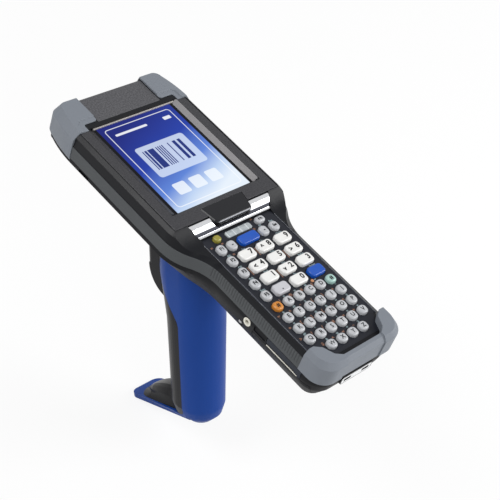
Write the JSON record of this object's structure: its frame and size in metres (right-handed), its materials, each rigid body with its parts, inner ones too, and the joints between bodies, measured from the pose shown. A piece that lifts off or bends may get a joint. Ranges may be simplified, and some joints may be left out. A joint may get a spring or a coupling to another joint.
{
  "type": "portable barcode data terminal",
  "caption": "Rugged handheld data terminal with display, alphanumeric keypad, corner bumpers, scanning end, side port door and a raked pistol grip with trigger.",
  "frame": {"origin": "centre of the display glass's outer face", "axes": "+Z out of the screen, +Y along the terminal towards its scanning end, +X to the screen's right"},
  "size_m": [0.0832, 0.2126, 0.1694],
  "materials": {
    "housing": "fine moulded texture",
    "band": "satin, finely ribbed",
    "bumper": "soft, fine grain",
    "top_panel": "fine moulded texture",
    "window": "dark red, polished",
    "glass": "polished touch glass",
    "screen": "lit display",
    "bezel": "satin",
    "trim": "polished",
    "mat": "satin",
    "indicator": "translucent, silvery",
    "board": "printed circuit board",
    "jack": "moulded",
    "door": "satin",
    "steel": "plated",
    "connector": "moulded",
    "handle": "fine moulded texture",
    "grip": "satin overmould",
    "key": "satin, printed legends",
    "key_blue": "satin",
    "key_orange": "translucent amber",
    "key_green": "satin",
    "key_power": "metallic",
    "key_grey": "satin"
  },
  "bodies": {
    "terminal": {"bumper_bottom": "bumper", "bumper_top_left": "bumper", "bumper_top_right": "bumper", "chrome_trim": "trim", "display_bezel": "bezel", "display_glass": "glass", "display_module": "screen", "dock_connector": "connector", "door_pin": "steel", "front_housing": "housing", "handle_front": "grip", "handle_shell": "handle", "headset_jack": "jack", "indicator_strip": "indicator", "keypad_mat": "mat", "main_board": "board", "name_tab": "housing", "rear_housing": "housing", "scan_engine": "board", "scan_window": "window", "screws": "steel", "side_band_left": "band", "side_band_right": "band", "top_panel": "top_panel", "trigger_pin": "steel", "trigger_switch": "door"},
    "trigger": {"trigger": "grip"},
    "port_door": {"port_door": "door"},
    "battery_pack": {"battery_pack": "housing"},
    "battery_latch": {"battery_latch": "door"},
    "key_0": {"key_0": "key"},
    "key_1": {"key_1": "key"},
    "key_2": {"key_2": "key"},
    "key_3": {"key_3": "key"},
    "key_4": {"key_4": "key"},
    "key_5": {"key_5": "key"},
    "key_6": {"key_6": "key"},
    "key_7": {"key_7": "key"},
    "key_8": {"key_8": "key"},
    "key_9": {"key_9": "key"},
    "key_enter": {"key_enter": "key_blue"},
    "key_escape": {"key_escape": "key"},
    "key_f1": {"key_f1": "key"},
    "key_f2": {"key_f2": "key"},
    "key_f3": {"key_f3": "key"},
    "key_f4": {"key_f4": "key"},
    "key_f5": {"key_f5": "key"},
    "key_fn": {"key_fn": "key"},
    "key_green": {"key_green": "key_green"},
    "key_letters_1": {"key_letters_1": "key"},
    "key_letters_2": {"key_letters_2": "key"},
    "key_letters_3": {"key_letters_3": "key"},
    "key_letters_4": {"key_letters_4": "key"},
    "key_letters_5": {"key_letters_5": "key"},
    "key_orange": {"key_orange": "key_orange"},
    "key_point": {"key_point": "key_grey"},
    "key_power": {"key_power": "key_power"},
    "key_scan": {"key_scan": "key_blue"},
    "key_soft_left": {"key_soft_left": "key"},
    "key_soft_right": {"key_soft_right": "key"}
  },
  "joints": [
    {"name": "trigger_pull", "type": "hinge", "parent": "terminal", "child": "trigger", "pos_m": [0, -0.01961, -0.05703], "axis": [-1, 0, 0], "range_deg": [0, 8], "stiffness_Nm_per_rad": 0.4},
    {"name": "port_door_hinge", "type": "hinge", "parent": "terminal", "child": "port_door", "pos_m": [-0.02775, -0.13859, -0.01695], "axis": [0, 0, 1], "range_deg": [0, 90]},
    {"name": "battery_slide", "type": "slide", "parent": "terminal", "child": "battery_pack", "axis": [0, 0, -1], "range_m": [0, 0.025]},
    {"name": "latch_slide", "type": "slide", "parent": "battery_pack", "child": "battery_latch", "axis": [0, -1, 0], "range_m": [0, 0.0025], "stiffness_N_per_m": 400},
    {"name": "press_0", "type": "slide", "parent": "terminal", "child": "key_0", "axis": [0, 0, -1], "range_m": [0, 0.001], "stiffness_N_per_m": 600},
    {"name": "press_1", "type": "slide", "parent": "terminal", "child": "key_1", "axis": [0, 0, -1], "range_m": [0, 0.001], "stiffness_N_per_m": 600},
    {"name": "press_2", "type": "slide", "parent": "terminal", "child": "key_2", "axis": [0, 0, -1], "range_m": [0, 0.001], "stiffness_N_per_m": 600},
    {"name": "press_3", "type": "slide", "parent": "terminal", "child": "key_3", "axis": [0, 0, -1], "range_m": [0, 0.001], "stiffness_N_per_m": 600},
    {"name": "press_4", "type": "slide", "parent": "terminal", "child": "key_4", "axis": [0, 0, -1], "range_m": [0, 0.001], "stiffness_N_per_m": 600},
    {"name": "press_5", "type": "slide", "parent": "terminal", "child": "key_5", "axis": [0, 0, -1], "range_m": [0, 0.001], "stiffness_N_per_m": 600},
    {"name": "press_6", "type": "slide", "parent": "terminal", "child": "key_6", "axis": [0, 0, -1], "range_m": [0, 0.001], "stiffness_N_per_m": 600},
    {"name": "press_7", "type": "slide", "parent": "terminal", "child": "key_7", "axis": [0, 0, -1], "range_m": [0, 0.001], "stiffness_N_per_m": 600},
    {"name": "press_8", "type": "slide", "parent": "terminal", "child": "key_8", "axis": [0, 0, -1], "range_m": [0, 0.001], "stiffness_N_per_m": 600},
    {"name": "press_9", "type": "slide", "parent": "terminal", "child": "key_9", "axis": [0, 0, -1], "range_m": [0, 0.001], "stiffness_N_per_m": 600},
    {"name": "press_enter", "type": "slide", "parent": "terminal", "child": "key_enter", "axis": [0, 0, -1], "range_m": [0, 0.001], "stiffness_N_per_m": 600},
    {"name": "press_escape", "type": "slide", "parent": "terminal", "child": "key_escape", "axis": [0, 0, -1], "range_m": [0, 0.001], "stiffness_N_per_m": 600},
    {"name": "press_f1", "type": "slide", "parent": "terminal", "child": "key_f1", "axis": [0, 0, -1], "range_m": [0, 0.001], "stiffness_N_per_m": 600},
    {"name": "press_f2", "type": "slide", "parent": "terminal", "child": "key_f2", "axis": [0, 0, -1], "range_m": [0, 0.001], "stiffness_N_per_m": 600},
    {"name": "press_f3", "type": "slide", "parent": "terminal", "child": "key_f3", "axis": [0, 0, -1], "range_m": [0, 0.001], "stiffness_N_per_m": 600},
    {"name": "press_f4", "type": "slide", "parent": "terminal", "child": "key_f4", "axis": [0, 0, -1], "range_m": [0, 0.001], "stiffness_N_per_m": 600},
    {"name": "press_f5", "type": "slide", "parent": "terminal", "child": "key_f5", "axis": [0, 0, -1], "range_m": [0, 0.001], "stiffness_N_per_m": 600},
    {"name": "press_fn", "type": "slide", "parent": "terminal", "child": "key_fn", "axis": [0, 0, -1], "range_m": [0, 0.001], "stiffness_N_per_m": 600},
    {"name": "press_green", "type": "slide", "parent": "terminal", "child": "key_green", "axis": [0, 0, -1], "range_m": [0, 0.001], "stiffness_N_per_m": 600},
    {"name": "press_letters_1", "type": "slide", "parent": "terminal", "child": "key_letters_1", "axis": [0, 0, -1], "range_m": [0, 0.001], "stiffness_N_per_m": 1200},
    {"name": "press_letters_2", "type": "slide", "parent": "terminal", "child": "key_letters_2", "axis": [0, 0, -1], "range_m": [0, 0.001], "stiffness_N_per_m": 1200},
    {"name": "press_letters_3", "type": "slide", "parent": "terminal", "child": "key_letters_3", "axis": [0, 0, -1], "range_m": [0, 0.001], "stiffness_N_per_m": 1200},
    {"name": "press_letters_4", "type": "slide", "parent": "terminal", "child": "key_letters_4", "axis": [0, 0, -1], "range_m": [0, 0.001], "stiffness_N_per_m": 1200},
    {"name": "press_letters_5", "type": "slide", "parent": "terminal", "child": "key_letters_5", "axis": [0, 0, -1], "range_m": [0, 0.001], "stiffness_N_per_m": 1200},
    {"name": "press_orange", "type": "slide", "parent": "terminal", "child": "key_orange", "axis": [0, 0, -1], "range_m": [0, 0.001], "stiffness_N_per_m": 600},
    {"name": "press_point", "type": "slide", "parent": "terminal", "child": "key_point", "axis": [0, 0, -1], "range_m": [0, 0.001], "stiffness_N_per_m": 600},
    {"name": "press_power", "type": "slide", "parent": "terminal", "child": "key_power", "axis": [0, 0, -1], "range_m": [0, 0.001], "stiffness_N_per_m": 600},
    {"name": "press_scan", "type": "slide", "parent": "terminal", "child": "key_scan", "axis": [0, 0, -1], "range_m": [0, 0.001], "stiffness_N_per_m": 600},
    {"name": "press_soft_left", "type": "slide", "parent": "terminal", "child": "key_soft_left", "axis": [0, 0, -1], "range_m": [0, 0.001], "stiffness_N_per_m": 600},
    {"name": "press_soft_right", "type": "slide", "parent": "terminal", "child": "key_soft_right", "axis": [0, 0, -1], "range_m": [0, 0.001], "stiffness_N_per_m": 600}
  ]
}
